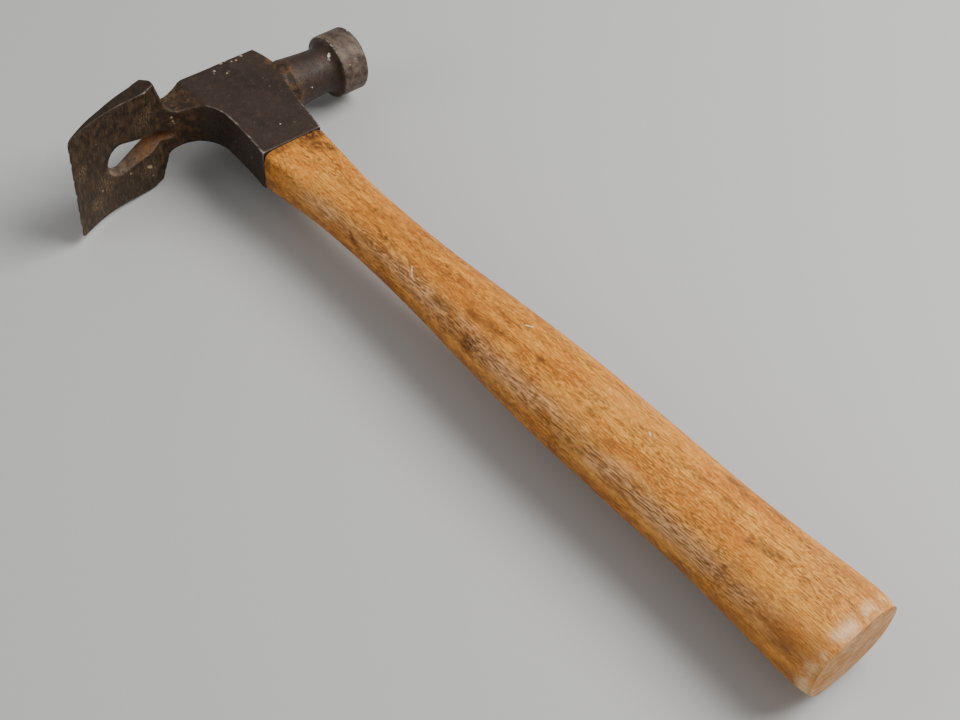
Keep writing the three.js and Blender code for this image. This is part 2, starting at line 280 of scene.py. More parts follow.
def oval_distance(y, z, width, thickness, power):
    """Distance from a squared-off oval, good near its edge, negative inside."""
    a, b = np.abs(y / width) + 1e-6, np.abs(z / thickness) + 1e-6
    level = (a ** power + b ** power) ** (1 / power)
    slope = np.hypot((a / level) ** (power - 1) / width, (b / level) ** (power - 1) / thickness)
    return (level - 1) / slope


def slot_distance(x, y, z):
    """Distance from the teardrop, negative inside it; its walls draw in towards the outer face."""
    depth = straight_step(SLOT_INNER_X, SLOT_OUTER_X, x)
    big_y, big_radius = (a + (b - a) * depth for a, b in zip(SLOT_BIG, SLOT_OUTER_BIG))
    small_y, small_radius = (a + (b - a) * depth for a, b in zip(SLOT_SMALL, SLOT_OUTER_SMALL))
    span = small_y - big_y
    t = np.clip((y - big_y) / span, 0, 1)
    radius = big_radius + (small_radius - big_radius) * t
    return np.hypot(y - big_y - t * span, z - SLOT_CENTRE_Z) - radius


SIDE = Table(side_outline(), (-4, -86), (64, 28))
PLAN = Table(plan_outline(), (-86, -30), (28, 30))
POLL = Table(poll_outline(), (0, 0), (64, 34))


def shoulder_bevel(x, y, z):
    """The flat ground on the outer corner of each shoulder; far inside it on the neck."""
    on_wing = smooth_step(11, 14, np.abs(z))
    plane = (8.9 - x) * 0.72 + (y + 37.2) * 0.69
    return np.where((on_wing > 0) & (y < -26), plane * on_wing - 6 * (1 - on_wing), -6)


def head_distance(p):
    x, y, z = p[..., 0], p[..., 1], p[..., 2]
    # soft edges on the neck, crisp ones on block and blade
    on_neck = smooth_step(-36, -31, y) * (1 - smooth_step(-20, -14, y))
    body = round_cut(SIDE(x, y), PLAN(y, z), 0.45 + 0.9 * on_neck)
    body = round_cut(body, shoulder_bevel(x, y, z), 0.4)
    poll = POLL(y, np.hypot(x - POLL_AXIS_X, z))
    solid = round_join(body, poll, 0.9)
    # eye, with its mouth eased at both ends
    width, thickness = tenon_half_sizes(np.clip(x, 0, BLOCK_HEIGHT))
    leaning_y = y - (x - BLOCK_HEIGHT) * math.tan(HANG_ANGLE)
    eye = oval_distance(leaning_y, z, width + EYE_GAP, thickness + EYE_GAP, 3.2)
    solid = round_cut(solid, -eye, 0.4)
    solid = round_cut(solid, -slot_distance(x, y, z), 0.45)
    for nick_z, depth in NICKS:
        nick = np.hypot(y - EDGE[1] + NICK_RADIUS - depth, z - nick_z) - NICK_RADIUS
        solid = round_cut(solid, -nick, 0.15)
    on_cheek = smooth_step(-16, -10, y) * (1 - smooth_step(18, 24, y))
    on_bell = smooth_step(42, 47, y)
    uneven = (0.07 - 0.03 * on_cheek) * waves(p, 13, 1) + (0.035 - 0.015 * on_cheek) * waves(p, 5, 2)
    uneven += 0.03 * on_bell * waves(p, 2.6, 3)
    return solid + uneven * smooth_step(-82, -70, y) * (1 - 0.4 * on_bell) + SKIN


def blade_line(y):
    """Middle of the side outline in x, and how much the sampling narrows, along y."""
    ys = np.array([-84.0, -81.8, -77, -70, -62, -54, -46, -38, -30, -22, 30])
    mid = np.array([26.3, 25.4, 22.9, 19.3, 16.4, 14.4, 12.9, 11.3, 10, 10, 10])
    scale = np.array([0.12, 0.12, 0.26, 0.44, 0.62, 0.80, 0.95, 1, 1, 1, 1])
    return np.interp(y, ys, mid), np.interp(y, ys, scale)


def surface_nets(values):
    """Quads and points, in grid units, of the surface where the values change sign."""
    inside = values < 0
    shape = np.array(values.shape)
    cells = tuple(shape - 1)
    total = np.zeros((3, int(np.prod(cells))))
    hits = np.zeros(int(np.prod(cells)))
    quads = []
    for axis in range(3):
        first = [slice(None)] * 3
        second = [slice(None)] * 3
        first[axis], second[axis] = slice(None, -1), slice(1, None)
        a, b = values[tuple(first)], values[tuple(second)]
        i, j, k = np.nonzero(inside[tuple(first)] != inside[tuple(second)])
        low, high = a[i, j, k], b[i, j, k]
        place = [i.astype(float), j.astype(float), k.astype(float)]
        place[axis] = place[axis] + low / (low - high)
        others = [n for n in range(3) if n != axis]
        corners = []
        for du, dv in ((0, 0), (-1, 0), (-1, -1), (0, -1)):
            cell = [i.copy(), j.copy(), k.copy()]
            cell[others[0]] += du
            cell[others[1]] += dv
            index = np.ravel_multi_index([np.clip(c, 0, n - 1) for c, n in zip(cell, cells)], cells)
            for n in range(3):
                total[n] += np.bincount(index, place[n], minlength=len(hits))
            hits += np.bincount(index, minlength=len(hits))
            corners.append(index)
        quad = np.stack(corners, 1)
        flip = (low < 0) == (axis == 1)
        quad[flip] = quad[flip][:, ::-1]
        quads.append(quad)
    quads = np.concatenate(quads)
    used = np.nonzero(hits)[0]
    number = np.zeros(len(hits), int)
    number[used] = np.arange(len(used))
    return (total[:, used] / hits[used]).T, number[quads]


def polygonise_head(step):
    """Quads over the whole head. The grid along x follows the blade and narrows towards its edge."""
    u = np.arange(-27, 52 + step, step)
    y = np.arange(-84, 62 + step, step)
    z = np.arange(-27, 27 + step, step)
    mid, scale = blade_line(y)
    points = np.empty((len(u), len(y), len(z), 3), np.float32)
    points[..., 0] = (mid[None, :] + scale[None, :] * u[:, None])[:, :, None]
    points[..., 1] = y[None, :, None]
    points[..., 2] = z[None, None, :]
    values = head_distance(points)
    grid, quads = surface_nets(values)
    py = y[0] + grid[:, 1] * step
    mid, scale = blade_line(py)
    px = mid + scale * (u[0] + grid[:, 0] * step)
    pz = z[0] + grid[:, 2] * step
    return np.stack([px, py, pz], 1), quads


def gradient(function, points, h=0.06):
    result = np.empty_like(points)
    for n in range(3):
        shift = np.zeros(3)
        shift[n] = h
        result[:, n] = (function(points + shift) - function(points - shift)) / (2 * h)
    return result


LEAST_SLOPE = 0.2                # keeps a step finite where the gradient nearly vanishes
LONGEST_MOVE = 0.3


def settle(function, points, rounds=3):
    """Moves points onto the surface along its gradient."""
    for _ in range(rounds):
        slope = gradient(function, points)
        size = np.maximum((slope ** 2).sum(1), LEAST_SLOPE)
        move = (function(points) / size)[:, None] * slope
        points = points - np.clip(move, -LONGEST_MOVE, LONGEST_MOVE)
    return points


def neighbour_mean(values, pairs, count):
    weight = np.bincount(pairs[:, 0], minlength=count) + np.bincount(pairs[:, 1], minlength=count)
    columns = values.reshape(count, -1)
    result = np.empty_like(columns)
    for n in range(columns.shape[1]):
        result[:, n] = (np.bincount(pairs[:, 0], columns[pairs[:, 1], n], minlength=count)
                        + np.bincount(pairs[:, 1], columns[pairs[:, 0], n], minlength=count))
    return (result / np.maximum(weight, 1)[:, None]).reshape(values.shape)


def bend_of_surface(points, quads, normals, rounds):
    """Positive on ridges and edges, negative in hollows, over a few millimetres."""
    pairs = np.concatenate([quads[:, [n, (n + 1) % 4]] for n in range(4)])
    pairs = np.unique(np.sort(pairs, axis=1), axis=0)
    away = ((points - neighbour_mean(points, pairs, len(points))) * normals).sum(1)
    for _ in range(rounds):
        away = 0.5 * away + 0.5 * neighbour_mean(away, pairs, len(points))
    return away


# places where use has rubbed the edges bright: x, y, z, reach, strength
BRIGHT_EDGES = np.array([
    (50, -14, 9.8, 17, 1.0),
    (34, -13, 9.8, 12, 0.9),
    (22, -16, 9.8, 9, 0.6),
    (58, -14.5, 9.8, 4, 1.3),
    (60, 0, 9.8, 12, 0.5),
    (58, 14.5, 9.8, 4, 1.2),
    (48, 16, 9.8, 12, 0.45),
    (0, 2, 9.8, 14, 0.3),
    (25.8, -81.8, 25.3, 6, 1.6),
    (19, -66, 25.3, 17, 0.7),
    (15, -45, 25.3, 12, 0.6),
    (18.8, 47, 9, 17, 1.2),
    (18.8, 60, 8, 14, 0.7),
    (25.8, -81.8, -10, 16, 0.5),
    (17, -36, -25.3, 12, 0.3),
])


def rubbed_edges(points, bend):
    """1 on the edges that shine, 0 elsewhere."""
    reach = np.full(len(points), 0.16)
    for x, y, z, size, strength in BRIGHT_EDGES:
        away = np.linalg.norm(points - (x, y, z), axis=1)
        reach = np.maximum(reach, strength * (1 - smooth_step(0.4 * size, size, away)))
    sharp = smooth_step(0.10, 0.24, bend)
    patchy = smooth_step(-1.0, 0.5, waves(points, 2.4, 11, count=12))
    return np.clip(sharp * reach * (0.35 + 0.65 * patchy), 0, 1)


# places on the blade where tan scratches gather: x, y, z, reach
SCRATCHED = [(19.5, -65, -8, 8), (21, -71, -15, 6), (16.5, -42, -15, 7), (16.5, -43, 13, 7),
             (23, -77, 6, 6)]


def gathered(points, places):
    """1 in the middle of each place, falling to 0 at its reach."""
    share = np.zeros(len(points))
    for x, y, z, reach in places:
        away = np.linalg.norm(points - (x, y, z), axis=1)
        share = np.maximum(share, 1 - smooth_step(0.2 * reach, reach, away))
    return share


def make_head():
    step = 0.56
    points, quads = polygonise_head(step)
    points = settle(head_distance, points)
    slope = gradient(head_distance, points)
    normals = slope / np.linalg.norm(slope, axis=1, keepdims=True)
    bend = bend_of_surface(points, quads, normals, 1) / step
    soft_bend = bend_of_surface(points, quads, normals, 4) / step
    x, y, z = points.T
    inner_face = smooth_step(0.3, 0.7, normals[:, 0])
    attributes = {
        "edge": rubbed_edges(points, bend),
        "hollow": np.clip(-soft_bend * 7, 0, 1),
        "in_slot": 1 - smooth_step(-0.1, 0.5, slot_distance(x, y, z)),
        "bell": smooth_step(BELL_BACK_Y - 0.5, BELL_BACK_Y + 0.5, y),
        "blade": 1 - smooth_step(-36, -30, y),
        "neck": smooth_step(-36, -31, y) * (1 - smooth_step(-20, -15, y)),
        "poll_root": smooth_step(19, 22, y) * (1 - smooth_step(25, 30, y)),
        "scratched": gathered(points, SCRATCHED) * inner_face,
        "slot_round_end": smooth_step(-40, -56, y),
        "blade_side": smooth_step(-34, -37, y) * smooth_step(0.5, 0.8, np.abs(normals[:, 2])),
    }
    piece = make_mesh("head_forging", points, quads)
    set_attributes(piece.data, points, attributes)
    piece.data.transform(TOOL)
    return piece


# ---- handle ----
TOTAL_LENGTH = 360
SHOULDER_X = BLOCK_HEIGHT + 0.3
SHOULDER_EASE = 0.3
CROWN_INSET = 0.6
TENON_POWER = 3.2
BUTT_DOME = 0.9
BUTT_BEVEL = 7.5
BUTT_INSET = 0.9
BUTT_ROUNDNESS = 2               # power of the curve that the bevel follows
BUTT_POWER = 2.4                 # squareness of the butt
# x, half width, half thickness, squareness
GRIP = np.array([
    (BLOCK_HEIGHT, 14.8, 9.7, 6.5),
    (80, 14.1, 9.9, 3.4),
    (118, 13.2, 10.1, 2.5),
    (150, 14.1, 10.7, 2.4),
    (184, 16.3, 12.2, 2.4),
    (218, 18.1, 13.5, 2.4),
    (260, 18.7, 13.9, 2.4),
    (302, 18.9, 14.1, 2.4),
    (328, 20.1, 15.0, 2.4),
    (TOTAL_LENGTH - 14, 21.2, 15.8, 2.4),
    (TOTAL_LENGTH, 21.4, 15.9, 2.4),
])
# an old split in the blade-side edge of the grip, and a few knocks: x, y, z
SPLIT = [(112.5, -11.9, 5.2), (116.5, -12.9, 3.2), (119.5, -13.2, 1.4), (123, -13.2, -1.0)]
KNOCKS = [(126.5, -6, 9.5, 1.6, 0.25), (213, -3, 13.2, 2.2, 0.22), (314, -4, 14.3, 2.0, 0.25),
          (188, -15, 5, 2.4, 0.3), (242, -6, 13.4, 2.6, 0.2), (294, 12, 11.5, 2.6, 0.3),
          (165, 9, -8, 2.4, 0.3), (270, -8, -13, 3.0, 0.3), (205, 16, -4, 2.6, 0.3)]


def smooth_station(x, column):
    """Cubic curve through the stations of the grip."""
    xs, values = GRIP[:, 0], GRIP[:, column]
    slopes = np.gradient(values, xs)
    i = np.clip(np.searchsorted(xs, x) - 1, 0, len(xs) - 2)
    span = xs[i + 1] - xs[i]
    t = np.clip((x - xs[i]) / span, 0, 1)
    return ((2 * t ** 3 - 3 * t ** 2 + 1) * values[i] + (t ** 3 - 2 * t ** 2 + t) * slopes[i] * span
            + (3 * t ** 2 - 2 * t ** 3) * values[i + 1] + (t ** 3 - t ** 2) * slopes[i + 1] * span)


def grip_rings(start, end, step):
    """Places of the rings down the grip, closer together around the split."""
    bounds = [(start, 108, step), (108, 128, step / 2), (128, end, step)]
    rows = [np.arange(low, high, gap) for low, high, gap in bounds]
    return np.concatenate(rows + [[end]])


def handle_stations(step):
    """x, half width, half thickness and squareness of every ring from the crown to the butt."""
    rows = []
    width, thickness = tenon_half_sizes(CROWN_INSET)
    for share in np.linspace(0.02, 0.98, 24):
        rows.append((CROWN_INSET, width * share, thickness * share, TENON_POWER))
    for x in np.linspace(CROWN_INSET, SHOULDER_X, 60):
        rows.append((x, *tenon_half_sizes(x), TENON_POWER))
    tenon = np.array(tenon_half_sizes(BLOCK_HEIGHT))
    _, *full, squareness = GRIP[0]
    full = np.array(full)
    for share in np.linspace(0, 1, 9)[1:]:
        rows.append((SHOULDER_X, *(tenon + (full - SHOULDER_EASE - tenon) * share), squareness))
    for angle in np.radians((30, 60)):
        rows.append((SHOULDER_X + SHOULDER_EASE * (1 - math.cos(angle)),
                     *(full - SHOULDER_EASE * (1 - math.sin(angle))), squareness))
    bevel = TOTAL_LENGTH - BUTT_DOME - BUTT_BEVEL
    for x in grip_rings(SHOULDER_X + SHOULDER_EASE, bevel, step):
        rows.append((x, smooth_station(x, 1), smooth_station(x, 2), smooth_station(x, 3)))
    rim = np.array(rows[-1][1:3])
    for share in np.linspace(0, 1, 16)[1:]:
        rows.append((bevel + BUTT_BEVEL * share, *(rim - BUTT_INSET * share ** BUTT_ROUNDNESS), BUTT_POWER))
    rim = rim - BUTT_INSET
    for share in np.linspace(0, 1, 34)[1:]:
        rise = BUTT_DOME * (1 - (1 - share) ** 2)
        rows.append((TOTAL_LENGTH - BUTT_DOME + rise, *(rim * (1 - share * 0.985)), BUTT_POWER))
    return np.array(rows)


def groove(points, path, width):
    """1 along the path, falling off over the width."""
    nearest = np.full(points.shape[:-1], np.inf)
    for a, b in zip(np.array(path[:-1]), np.array(path[1:])):
        span = b - a
        t = np.clip(((points - a) @ span) / (span @ span), 0, 1)
        nearest = np.minimum(nearest, np.linalg.norm(points - a - t[..., None] * span, axis=-1))
    return np.exp(-(nearest / width) ** 2)


def handle_surface(step, sides):
    rows = handle_stations(step)
    angle = np.linspace(0, 2 * math.pi, sides, endpoint=False)
    power = 2 / rows[:, 3:4]
    y = np.sign(np.cos(angle)) * np.abs(np.cos(angle)) ** power * rows[:, 1:2]
    z = np.sign(np.sin(angle)) * np.abs(np.sin(angle)) ** power * rows[:, 2:3]
    x = np.repeat(rows[:, 0:1], sides, axis=1)
    points = np.stack([x, y, z], -1)
    # hand-shaping: long shallow flats, small dents, the split and the knocks
    outward = np.stack([np.zeros_like(x), y / rows[:, 1:2] ** 2, z / rows[:, 2:3] ** 2], -1)
    outward /= np.maximum(np.linalg.norm(outward, axis=-1, keepdims=True), 1e-9)
    on_grip = smooth_step(SHOULDER_X + 0.5, SHOULDER_X + 6, x)
    on_side = smooth_step(TOTAL_LENGTH, TOTAL_LENGTH - 4, x)
    sunk = 0.02 + 0.08 * waves(points * (0.25, 1, 1), 16, 5) + 0.035 * waves(points * (0.6, 1, 1), 4, 6)
    sunk = np.maximum(sunk, 0.0) + 1.1 * groove(points, SPLIT, 0.55)
    for kx, ky, kz, reach, depth in KNOCKS:
        away = np.linalg.norm((points - (kx, ky, kz)) * (0.6, 1, 1), axis=-1)
        sunk += depth * np.exp(-(away / reach) ** 2)
    points = points - outward * (sunk * on_grip * on_side)[..., None]
    # the shoulder's rim is ragged, where the wood has splintered against the steel
    rim = smooth_step(SHOULDER_X + 2.4, SHOULDER_X, x) * (x > BLOCK_HEIGHT)
    outer = smooth_step(0.86, 0.97, np.maximum(np.abs(y / GRIP[0, 1]), np.abs(z / GRIP[0, 2])))
    ragged = np.clip(waves(points, 1.5, 8, count=12) + 0.2, 0, 1.6)
    points[..., 0] += 0.5 * ragged * rim * outer
    # the butt was sawn and rasped by hand
    on_butt = smooth_step(TOTAL_LENGTH - 3, TOTAL_LENGTH - 1.2, x)
    points[..., 0] -= on_butt * (0.15 + 0.08 * waves(points * (0, 1, 1), 9, 9))
    return points


# dark handling marks on the wood: x, y, z, reach along the grain, reach across it, strength
STAINS = [
    (61, -8, 9.6, 3, 9, 0.7), (61, 8, 9.6, 7, 12, 1.1), (68, 6, 9.4, 6, 5, 0.95), (71, 9, 8.6, 6, 4, 1.1),
    (62, -13, 4, 3, 6, 0.8), (116, -12.6, 3, 6, 1.4, 0.8), (126.5, -6, 9.5, 4, 1.4, 0.9),
    (113, 0, 9.9, 1.4, 6, 0.4), (166, -11, 8.8, 7, 3, 0.6), (181, -6.7, 11.4, 9, 3.4, 0.7),
    (190, -5.7, 12, 10, 4, 0.65), (186, -15, 6, 5, 4, 0.8), (213, -3, 13.2, 4.5, 1.6, 0.85),
    (242, -6, 13.4, 4.5, 2.6, 0.5), (255, -10.5, 12.3, 4, 2, 0.6), (288, 3, 13.8, 6, 1.4, 0.6),
    (294, 12, 11.5, 7, 2.6, 0.8), (312, 13.4, 11.5, 7, 2.6, 0.7), (314, -4, 14.3, 4, 1.8, 1.0),
    (321, -2, 14.7, 8, 3.2, 0.7), (314, -15.5, 9.9, 2, 1.4, 0.9), (344, -19, 6, 12, 7, 0.5),
    (150, 12, -6, 8, 4, 0.6), (230, 10, -12, 10, 5, 0.6), (300, -12, -12, 9, 5, 0.6),
    (100, 4, -10, 8, 4, 0.5),
]


def handle_attributes(points):
    x, y, z = points.T
    on_grip = np.clip(x, BLOCK_HEIGHT, None)
    width, thickness = smooth_station(on_grip, 1), smooth_station(on_grip, 2)
    around = np.degrees(np.arctan2(z / thickness, y / width))
    stain = np.zeros(len(points))
    for sx, sy, sz, along, across, strength in STAINS:
        away = np.hypot((x - sx) / along, np.hypot(y - sy, z - sz) / across)
        stain = np.maximum(stain, strength * (1 - smooth_step(0.25, 1, away)))
    # painted sheen: pale bands round the grip, stand-ins for reflected light, one on the upper blade-side
    # facet that faces away from the key light and one on the lower poll-side edge; the same band also marks
    # where the grain runs flat
    band_middle = 146 + 4 * np.sin(x / 37)
    pale = np.exp(-((around - band_middle) / 17) ** 2) + 0.8 * np.exp(-((around + 40) / 20) ** 2)
    crown = 1 - smooth_step(CROWN_INSET + 0.5, CROWN_INSET + 1.2, x)
    rim = TOTAL_LENGTH - BUTT_DOME
    ridge = rim - 0.75 * BUTT_BEVEL
    return {
        "flat_grain_and_painted_sheen": pale * smooth_step(62, 100, x) * (0.75 + 0.25 * waves(points * (0.3, 1, 1), 12, 21)),
        "stain": stain,
        # painted shade: the underside of the grip, below the blade side, is marked to be darkened
        "painted_underside_shade": smooth_step(166, 190, around % 360) * smooth_step(330, 290, around % 360),
        "split": groove(points, SPLIT, 0.45),
        "end_grain": np.maximum(smooth_step(rim - 0.5, rim - 0.1, x), crown),
        "crown_end": crown,
        "socket": 1 - smooth_step(SHOULDER_X + 0.2, SHOULDER_X + 2.5, x),
        "handled": smooth_step(84, 112, x) * smooth_step(222, 180, x) * smooth_step(-2, 6, z),
        "near_butt": smooth_step(TOTAL_LENGTH - 60, TOTAL_LENGTH - 8, x),
        "worn_rim": np.exp(-((x - ridge - 2.5) / 2.6) ** 2),
    }


def make_handle(cutters):
    step, sides = ((0.76, 136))
    points = handle_surface(step, sides)
    rings = len(points)
    ring = np.arange(sides)
    quads = []
    for n in range(rings - 1):
        a = n * sides + ring
        b = n * sides + (ring + 1) % sides
        quads.append(np.stack([a, b, b + sides, a + sides], 1))
    quads = np.concatenate(quads)
    quads = np.concatenate([quads, cap_quads(ring)[:, ::-1], cap_quads(ring) + (rings - 1) * sides])
    piece = make_mesh("handle_wood", points.reshape(-1, 3), quads[:, ::-1])
    carve(piece, cutters)
    points = mesh_points(piece.data)
    set_attributes(piece.data, points, handle_attributes(points))
    piece.data.transform(TOOL @ HANG)
    return piece


def cap_quads(ring):
    """Fills a ring with strips of quads from one side to the other."""
    half = len(ring) // 2
    strips = []
    for n in range(half - 1):
        strips.append((ring[n], ring[n + 1], ring[-n - 2], ring[-n - 1]))
    return np.array(strips)


# ---- wedges ----
# depth, thickness at the crown and at the tip, half width
KERF_WEDGE = (36, 3.6, 1.0, 8.6)
STEEL_WEDGE = (16, 2.6, 0.8, 4.0)
STEEL_WEDGE_OFFSET = 4.8
TIGHT = 0.06                     # gap round a driven wedge


def cube_grid(cuts):
    """Points and quads of a cube from -1 to 1, each face divided into a grid."""
    form = bmesh.new()
    bmesh.ops.create_cube(form, size=2)
    bmesh.ops.subdivide_edges(form, edges=form.edges[:], cuts=cuts, use_grid_fill=True)
    form.verts.index_update()
    points = np.array([vertex.co[:] for vertex in form.verts])
    quads = np.array([[vertex.index for vertex in face.verts] for face in form.faces])
    form.free()
    return points, quads


def wedge_points(cube, sizes, gap, turned):
    """The cube pressed into a wedge down x. Turned, its thickness runs along z and not y."""
    depth, thick_top, thick_tip, half_width = sizes
    down = (cube[:, 0] + 1) / 2
    x = CROWN_INSET + (depth + gap) * down
    if gap:
        x = np.where(down < 0.001, -1, x)
    thin = cube[:, 1] * ((thick_top + (thick_tip - thick_top) * down) / 2 + gap)
    wide = cube[:, 2] * (half_width + gap)
    return np.stack([x, wide, thin] if turned else [x, thin, wide], 1)


def wedge_cutter(sizes, offset, turned):
    cube, quads = cube_grid(0)
    points = wedge_points(cube, sizes, TIGHT, turned) + (0, offset, 0)
    return make_mesh("cutter", points, quads)


def make_wedge(name, sizes, offset, turned, roughness, cutters):
    """A driven wedge, its struck end battered and its corners knocked off."""
    cube, quads = cube_grid(23)
    points = wedge_points(cube, sizes, 0, turned) + (0, offset, 0)
    corner = smooth_step(0.8, 1, np.abs(cube[:, 1])) + smooth_step(0.9, 1, np.abs(cube[:, 2]))
    top = smooth_step(-0.8, -1, cube[:, 0])
    points[:, 0] += top * (roughness * (0.6 + 0.5 * waves(points * (0, 1, 1), 1.8, 31)) + 0.12 * corner)
    middle = points.mean(axis=0) * (0, 1, 1)
    inward = (points - middle) * (0, 1, 1)
    points -= inward * (0.012 + 0.012 * waves(points, 2.5, 32))[:, None]
    piece = make_mesh(name, points, quads)
    if cutters:
        carve(piece, cutters)
    piece.data.set_sharp_from_angle(angle=math.radians(50))
    points = mesh_points(piece.data)
    everywhere = np.ones(len(points))
    set_attributes(piece.data, points, {"end_grain": everywhere, "crown_end": everywhere})
    piece.data.transform(TOOL @ HANG)
    return piece


# ---- materials ----
def new_material(name):
    material = bpy.data.materials.new(name)
    material.use_nodes = True
    nodes = material.node_tree.nodes
    nodes.clear()
    shader = nodes.new("ShaderNodeBsdfPrincipled")
    output = nodes.new("ShaderNodeOutputMaterial")
    material.node_tree.links.new(shader.outputs["BSDF"], output.inputs["Surface"])
    return material, shader


class Paint:
    """Short ways to add the nodes that the materials are made of."""

    def __init__(self, material):
        self.nodes = material.node_tree.nodes
        self.links = material.node_tree.links

    def put(self, target, value):
        if isinstance(value, bpy.types.NodeSocket):
            self.links.new(value, target)
        else:
            target.default_value = value

    def attribute(self, name, vector=False):
        node = self.nodes.new("ShaderNodeAttribute")
        node.attribute_name = name
        return node.outputs["Vector" if vector else "Fac"]

    def stretch(self, vector, scale):
        node = self.nodes.new("ShaderNodeMapping")
        node.inputs["Scale"].default_value = scale
        self.put(node.inputs["Vector"], vector)
        return node.outputs["Vector"]

    def noise(self, vector, scale, detail=3, roughness=0.55, output="Fac"):
        node = self.nodes.new("ShaderNodeTexNoise")
        self.put(node.inputs["Vector"], vector)
        node.inputs["Scale"].default_value = scale
        node.inputs["Detail"].default_value = detail
        node.inputs["Roughness"].default_value = roughness
        return node.outputs[output]

    def cells(self, vector, scale, output="Distance"):
        node = self.nodes.new("ShaderNodeTexVoronoi")
        self.put(node.inputs["Vector"], vector)
        node.inputs["Scale"].default_value = scale
        return node.outputs[output]

    def vector_math(self, kind, a, b, output="Vector"):
        node = self.nodes.new("ShaderNodeVectorMath")
        node.operation = kind
        self.put(node.inputs[0], a)
        self.put(node.inputs[1], b)
        return node.outputs[output]

    def warp(self, vector, scale, amount):
        """The vector pushed about by a smooth noise."""
        push = self.vector_math("SUBTRACT", self.noise(vector, scale, 2, output="Color"), (0.5, 0.5, 0.5))
        push = self.vector_math("MULTIPLY", push, (amount, amount, amount))
        return self.vector_math("ADD", vector, push)

    def specks(self, vector, scale, size, share):
        """Round spots in some of the cells: their size within a cell, and the share that has one."""
        chosen = self.band(self.cells(vector, scale, "Color"), 1 - share, 1.02 - share)
        return self.math("MULTIPLY", self.band(self.cells(vector, scale), size, 0.6 * size), chosen)

    def flecks(self, vector, places):
        """Small marks, each at its own place and with its own radius."""
        nearest = 2.0
        for x, y, z, radius in places:
            away = self.vector_math("DISTANCE", vector, (x, y, z), "Value")
            nearest = self.math("MINIMUM", self.math("DIVIDE", away, radius), nearest)
        return self.band(nearest, 1.0, 0.7)

    def band(self, value, low, high):
        """0 below low, 1 above high, smooth between; low may be above high."""
        node = self.nodes.new("ShaderNodeMapRange")
        node.interpolation_type = "SMOOTHSTEP"
        self.put(node.inputs["Value"], value)
        flipped = low > high
        node.inputs["From Min"].default_value = min(low, high)
        node.inputs["From Max"].default_value = max(low, high)
        node.inputs["To Min"].default_value = 1 if flipped else 0
        node.inputs["To Max"].default_value = 0 if flipped else 1
        return node.outputs["Result"]

    def math(self, kind, a, b):
        node = self.nodes.new("ShaderNodeMath")
        node.operation = kind
        self.put(node.inputs[0], a)
        self.put(node.inputs[1], b)
        return node.outputs["Value"]

    def mix(self, share, a, b):
        node = self.nodes.new("ShaderNodeMix")
        node.data_type = "RGBA"
        self.put(node.inputs["Factor"], share)
        self.put(node.inputs["A"], a)
        self.put(node.inputs["B"], b)
        return node.outputs["Result"]

    def blend(self, share, a, b):
        node = self.nodes.new("ShaderNodeMix")
        node.data_type = "FLOAT"
        self.put(node.inputs["Factor"], share)
        self.put(node.inputs["A"], a)
        self.put(node.inputs["B"], b)
        return node.outputs["Result"]

    def bump(self, height, distance, strength):
        node = self.nodes.new("ShaderNodeBump")
        node.inputs["Strength"].default_value = strength
        node.inputs["Distance"].default_value = distance
        self.put(node.inputs["Height"], height)
        return node.outputs["Normal"]


def srgb(red, green, blue):
    def linear(value):
        value /= 255
        return value / 12.92 if value <= 0.04045 else ((value + 0.055) / 1.055) ** 2.4
    return (linear(red), linear(green), linear(blue), 1)


# chips of old paint and bare metal: x, y, z, radius
WHITE_CHIPS = [
    (23.3, 45.1, 9.8, 0.9), (24.4, 44.2, 9.2, 0.6), (22.6, 45.6, 10.2, 0.5), (28.4, 30.0, 3.6, 0.4),
    (28.8, 30.8, 3.1, 0.42), (29.2, 31.6, 2.6, 0.4), (48.4, 1.7, 9.75, 0.42), (18, 59.1, 14.2, 0.5),
]
TAN_CHIPS = [
    (19.2, 13.4, 9.75, 0.35), (31, 50.7, 7.2, 0.5), (7.8, 2.9, 9.75, 0.6), (7, 4.4, 9.75, 0.4),
    (3.4, -0.7, 9.75, 0.7), (4.4, -1.6, 9.75, 0.4), (2.5, 11.1, 9.75, 0.6), (2.2, 9, 9.75, 0.5),
    (0.6, 4.4, 9.6, 0.9), (0.5, 6.5, 9.6, 0.7), (1, 14.5, 9.6, 0.8), (16.6, -42.8, -13.1, 1.0),
    (17, -43.8, -12.4, 0.8), (17.4, -52.7, -11.3, 0.6), (16.6, -41.9, -18.6, 0.5), (15.4, -30, 6.4, 0.7),
    (15.6, -29.6, 4.6, 0.6), (15.8, -29.2, 3.2, 0.5), (20.3, -67.5, -10.8, 0.5), (36, -13, -1, 0.5),
    (49, -13.5, 0, 0.5),
]


